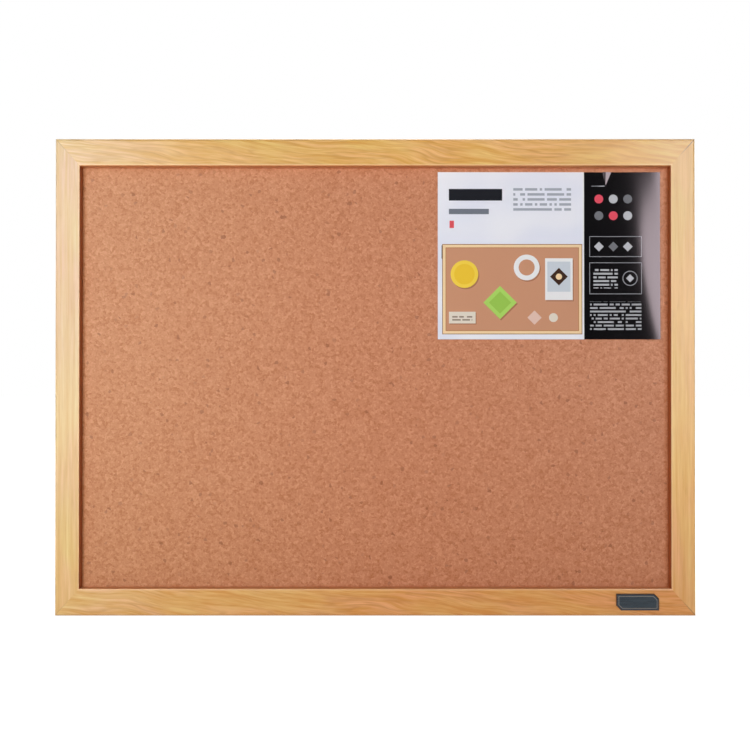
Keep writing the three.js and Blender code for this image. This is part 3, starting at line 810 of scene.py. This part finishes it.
def card_finish():
    """Coated card with a generic print: plain blocks, discs, diamonds and bars."""
    ground = linear(243, 244, 252)
    ground_shade = linear(233, 236, 250)
    finish = Finish("printed card")
    x, _, z = finish.parts(finish.place)
    spot = finish.vector(finish.calc("SUBTRACT", x, CARD_LOW.x), finish.calc("SUBTRACT", z, CARD_LOW.z), 0)
    width = CARD_HIGH.x - CARD_LOW.x
    height = CARD_HIGH.z - CARD_LOW.z
    clouds = finish.cloudy(finish.place, CARD_CLOUD_SIZE, detail=1)
    colour = finish.mixed(finish.between(clouds, *FIRM_CLOUD_EDGES), ground, ground_shade)
    for kind, (u, v), half_share, ink in PRINT_SHARES:
        if kind == "block":
            half = (half_share[0] * width, half_share[1] * height)
        else:
            half = (half_share * width, half_share * width)
        inked = mark(finish, kind, spot, (u * width, v * height), half)
        colour = finish.mixed(inked, colour, linear(*ink))
    for (u, v), (half_u, half_v), pitch, word, ink, seed in BARS_SHARES:
        inked = bars(finish, spot, (u * width, v * height), (half_u * width, half_v * height),
                     pitch * height, word * width, seed)
        colour = finish.mixed(inked, colour, linear(*ink))
    return finish.done(colour, roughness=0.08, specular=0.5, specular_tint=CARD_GLOSS_TINT)


def mark(finish, kind, spot, centre, half):
    """1 inside a block, a disc or a diamond, and 0 outside it."""
    distance = finish.combine("ABSOLUTE", from_centre(finish, spot, centre))
    scaled = finish.combine("DIVIDE", distance, (*half, 1))
    if kind == "disc":
        reach = finish.combine("LENGTH", scaled)
    elif kind == "diamond":
        reach = finish.combine("DOT_PRODUCT", scaled, (1, 1, 0))
    else:
        across, up, _ = finish.parts(scaled)
        reach = finish.calc("MAXIMUM", across, up)
    return finish.calc("LESS_THAN", reach, 1)


def from_centre(finish, spot, centre):
    return finish.combine("SUBTRACT", spot, (*centre, 0))


def bars(finish, spot, centre, half, pitch, word, seed):
    """Rows of short bars with gaps between them, inside a rectangle."""
    inside = mark(finish, "block", spot, centre, half)
    x, y, _ = finish.parts(finish.combine("DIVIDE", from_centre(finish, spot, centre), (word, pitch, 1)))
    inked = finish.calc("LESS_THAN", finish.calc("FRACT", y), BAR_INK_SHARE)
    picked = finish.add("ShaderNodeTexWhiteNoise", noise_dimensions="3D")
    cell = finish.vector(finish.calc("FLOOR", x), finish.calc("FLOOR", y), seed)
    finish.put(cell, picked.inputs["Vector"])
    shown = finish.calc("GREATER_THAN", picked.outputs["Value"], BAR_GAP_SHARE)
    return finish.calc("MULTIPLY", finish.calc("MULTIPLY", inside, inked), shown)


def make_leaflet():
    """The leaflet: flat at its staples, a little lifted and waved elsewhere, puckered at the top one."""
    side_low, side_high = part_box("leaflet_staple_side")
    top_low, top_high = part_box("leaflet_staple_top")
    top_middle = (top_low + top_high) / 2
    staples = ((side_low + side_high) / 2, top_middle)
    thickness = CARD_HIGH.y - CARD_LOW.y
    width = CARD_HIGH.x - CARD_LOW.x
    height = CARD_HIGH.z - CARD_LOW.z
    fine_left = top_high.x - CARD_FINE_LEFT
    fine_right = top_high.x + CARD_FINE_RIGHT

    def lift(x, z):
        u = (x - CARD_LOW.x) / width
        v = (z - CARD_LOW.z) / height
        free = 1.0
        for staple in staples:
            away = math.hypot(x - staple.x, z - staple.z) / CARD_HELD_SIZE
            free *= 1 - math.exp(-away * away)
        corners = 0.0
        for (corner_u, corner_v), rise in CARD_LIFTS.items():
            corners += rise * ((1 - abs(u - corner_u)) * (1 - abs(v - corner_v))) ** CARD_LIFT_POWER
        wave = 0.5 + 0.5 * math.sin(2 * math.pi * (x + CARD_WAVE_SLANT * z) / CARD_WAVE_LENGTH)
        return free * (corners + CARD_WAVE * wave)

    def pucker(x, z):
        grow = (z - top_middle.z) / (CARD_HIGH.z - top_middle.z)
        if grow <= 0:
            return 0.0
        off = x - top_high.x
        reach = grow * (PUCKER_RIGHT if off > 0 else PUCKER_LEFT)
        share = max(0.0, 1 - abs(off) / reach)
        return PUCKER_SLOPE * PUCKER_RIGHT * grow * share

    def front(x, z):
        return CARD_LOW.y - lift(x, z) - pucker(x, z)

    columns = (spaced(CARD_LOW.x, fine_left, CARD_CELL)[:-1] + spaced(fine_left, fine_right, CARD_FINE_CELL)
               + spaced(fine_right, CARD_HIGH.x, CARD_CELL)[1:])
    rows = (spaced(CARD_LOW.z, top_middle.z, CARD_CELL)[:-1]
            + spaced(top_middle.z, CARD_HIGH.z, CARD_FINE_CELL))
    mesh = closed_sheet(columns, rows, front, lambda x, z: front(x, z) + thickness)
    piece("leaflet_card", mesh, "leaflet", card_finish())


# Staples

def make_staple(node, finish):
    """A wire staple: its crown on the card, its shoulders bent and its legs in the board."""
    low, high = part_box(node)
    upright = high.z - low.z > high.x - low.x
    half = (high.z - low.z if upright else high.x - low.x) / 2 - STAPLE_WIRE / 2
    depth = high.y - low.y
    middle = Vector(((low.x + high.x) / 2, CARD_LOW.y, (low.z + high.z) / 2))
    arc = [math.pi / 2 * step / STAPLE_BEND_STEPS for step in range(STAPLE_BEND_STEPS + 1)]
    path = [(-half, depth - STAPLE_WIRE)]
    path += [(-half + STAPLE_BEND * (1 - math.cos(a)), STAPLE_BEND * (1 - math.sin(a))) for a in arc]
    path += [(-along, y) for along, y in reversed(path)]
    loops = []
    for index, (along, y) in enumerate(path):
        before = Vector(path[max(index - 1, 0)])
        after = Vector(path[min(index + 1, len(path) - 1)])
        ahead = (after - before).normalized()
        out = Vector((ahead.y, -ahead.x))
        loop = []
        for side, up in section(STAPLE_WIRE / 2, STAPLE_WIRE_WIDTH / 2):
            loop.append((along + out.x * side, y - STAPLE_WIRE / 2 + out.y * side, up))
        loops.append(loop)
    mesh = loft(loops)
    turn = Matrix.Rotation(math.pi / 2, 4, "Y") if upright else Matrix.Identity(4)
    mesh.transform(Matrix.Translation(middle) @ turn)
    piece(f"{node}_wire", mesh, node, finish)


def section(half_thick, half_wide):
    """A wire's flattened section, with its corners cut."""
    cut = STAPLE_CORNER_SHARE * half_thick
    corners = []
    for side, up in ((1, -1), (1, 1), (-1, 1), (-1, -1)):
        first = (side * half_thick, up * (half_wide - cut))
        second = (side * (half_thick - cut), up * half_wide)
        corners += [first, second] if side * up > 0 else [second, first]
    return corners


# Nameplate

def make_nameplate():
    """A bare plate with a broad bevel round it and two opposite corners cut off."""
    bevel_back = PLATE_LOW.y + PLATE_BEVEL

    def outline(inset, y):
        left, right = PLATE_LOW.x + inset, PLATE_HIGH.x - inset
        bottom, top = PLATE_LOW.z + inset, PLATE_HIGH.z - inset
        corner = PLATE_CORNER - inset * (2 - math.sqrt(2))
        return [(left + corner, y, bottom), (right, y, bottom), (right, y, top - corner),
                (right - corner, y, top), (left, y, top), (left, y, bottom + corner)]

    mesh = loft([outline(0, PLATE_HIGH.y), outline(0, bevel_back), outline(PLATE_BEVEL, PLATE_LOW.y)])
    plate = piece("nameplate_blank", mesh, "nameplate", slate_finish())
    bevel = plate.modifiers.new("arris", "BEVEL")
    bevel.width = PLATE_ARRIS
    bevel.segments = ARRIS_SEGMENTS
    bevel.harden_normals = True


def slate_finish():
    """Dark anodised metal, brushed along its length, with a painted highlight as a thin pale line round it
    and painted shade as a brown bevel.
    """
    slate = linear(36, 46, 54)
    slate_pale = linear(49, 59, 67)
    painted_rim_shading = linear(74, 54, 42)
    painted_highlight_line = linear(124, 118, 112)
    finish = Finish("slate plate")
    x, y, z = finish.parts(finish.place)
    brushed = finish.cloudy(finish.place, PLATE_BRUSH_SIZE, roughness=0.6)
    colour = finish.mixed(finish.between(brushed, *FIRM_CLOUD_EDGES), slate, slate_pale)
    from_sides = finish.calc("MINIMUM", finish.inside(x, PLATE_LOW.x, PLATE_HIGH.x),
                             finish.inside(z, PLATE_LOW.z, PLATE_HIGH.z))
    middle = (PLATE_LOW + PLATE_HIGH) / 2
    reach = (PLATE_HIGH.x - PLATE_LOW.x + PLATE_HIGH.z - PLATE_LOW.z) / 2 - PLATE_CORNER
    slant = finish.off(finish.calc("ADD", x, z), middle.x + middle.z)
    from_cut = finish.calc("DIVIDE", finish.calc("SUBTRACT", reach, slant), math.sqrt(2))
    # Painted highlight: a thin pale line near the plate's edge, standing for light caught by the bevel.
    off_line = finish.off(finish.calc("MINIMUM", from_sides, from_cut), HIGHLIGHT_LINE_INSET)
    colour = finish.mixed(finish.between(off_line, HIGHLIGHT_LINE_WIDTH, HIGHLIGHT_LINE_WIDTH / 2), colour, painted_highlight_line)
    # Painted shade: the bevel is coloured dark brown, as the plate's side and its shadow look.
    on_bevel = finish.between(y, PLATE_LOW.y + PLATE_ARRIS, PLATE_LOW.y + 2 * PLATE_ARRIS)
    off_wall = finish.between(y, PLATE_LOW.y + PLATE_BEVEL + PLATE_ARRIS, PLATE_LOW.y + PLATE_BEVEL)
    colour = finish.mixed(finish.calc("MULTIPLY", on_bevel, off_wall), colour, painted_rim_shading)
    roughness = finish.between(brushed, 0, 1, PLATE_ROUGHNESS)
    return finish.done(colour, roughness, finish.relief(brushed, PLATE_RELIEF), metallic=0.6)


# Pieces that keep their CAD shape

def plain_finish(name):
    """Two like colours in clouds of one size, with a relief of the same clouds."""
    first, second, size, roughness, depth, metallic = PLAIN_FINISHES[name]
    finish = Finish(name)
    clouds = finish.cloudy(finish.place, (size, size, size), detail=3, roughness=0.6)
    colour = finish.mixed(finish.between(clouds, *CLOUD_EDGES), linear(*first), linear(*second))
    return finish.done(colour, roughness, finish.relief(clouds, depth), metallic=metallic)


def hardboard_finish():
    """Brown hardboard: mottled fibres, and the fine screen that its rough back was pressed on."""
    finish = Finish("hardboard")
    fibres = finish.cloudy(finish.place, FIBRE_SIZE, detail=3, roughness=0.65)
    clouds = finish.cloudy(finish.place, HARDBOARD_CLOUD_SIZE, detail=3, roughness=0.6)
    colour = finish.mixed(finish.between(clouds, *CLOUD_EDGES), linear(134, 94, 60), linear(150, 109, 73))
    colour = finish.mixed(finish.between(fibres, *FIBRE_EDGES, FIBRE_STRENGTH), colour, linear(110, 74, 46))
    x, _, z = finish.parts(finish.place)
    turns = 2 * math.pi / SCREEN_PITCH
    waves = [finish.calc("SINE", finish.calc("MULTIPLY", along, turns)) for along in (x, z)]
    screen = finish.calc("MULTIPLY", *waves)
    height = finish.calc("ADD", fibres, finish.calc("MULTIPLY", screen, SCREEN_HEIGHT_SHARE))
    lines = finish.between(screen, *SCREEN_EDGES, SCREEN_STRENGTH)
    colour = finish.mixed(lines, colour, linear(112, 76, 48))
    return finish.done(colour, roughness=0.6, normal=finish.relief(height, HARDBOARD_RELIEF), specular=0.3)


def soften(width, *objects):
    """Welds the facets, rounds the sharp edges and smooths the rest."""
    for obj in objects:
        weld = obj.modifiers.new("weld", "WELD")
        weld.merge_threshold = WELD_GAP
        bevel = obj.modifiers.new("arris", "BEVEL")
        bevel.width = width
        bevel.segments = ARRIS_SEGMENTS
        bevel.angle_limit = SHARP_ANGLE
        normals = obj.modifiers.new("normals", "WEIGHTED_NORMAL")
        normals.keep_sharp = True


def dress_cad_nodes():
    for side in RAILS:
        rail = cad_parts[f"frame_rail_{side}"]
        give(oak_foil(side), rail)
        soften(RAIL_ARRIS, rail)
    for name, (starts, arris) in PLAIN_NODES.items():
        objects = nodes_named(*starts)
        give(plain_finish(name), *objects)
        if arris:
            soften(arris, *objects)
    give(hardboard_finish(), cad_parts["back_sheet"])


bpy.context.scene.view_settings.view_transform = "Standard"
add_camera()
add_world()
add_lamps()
add_floor()
make_cork()
make_leaflet()
make_nameplate()
dress_cad_nodes()
staple_steel = plain_finish("staple steel")
make_staple("leaflet_staple_side", staple_steel)
make_staple("leaflet_staple_top", staple_steel)
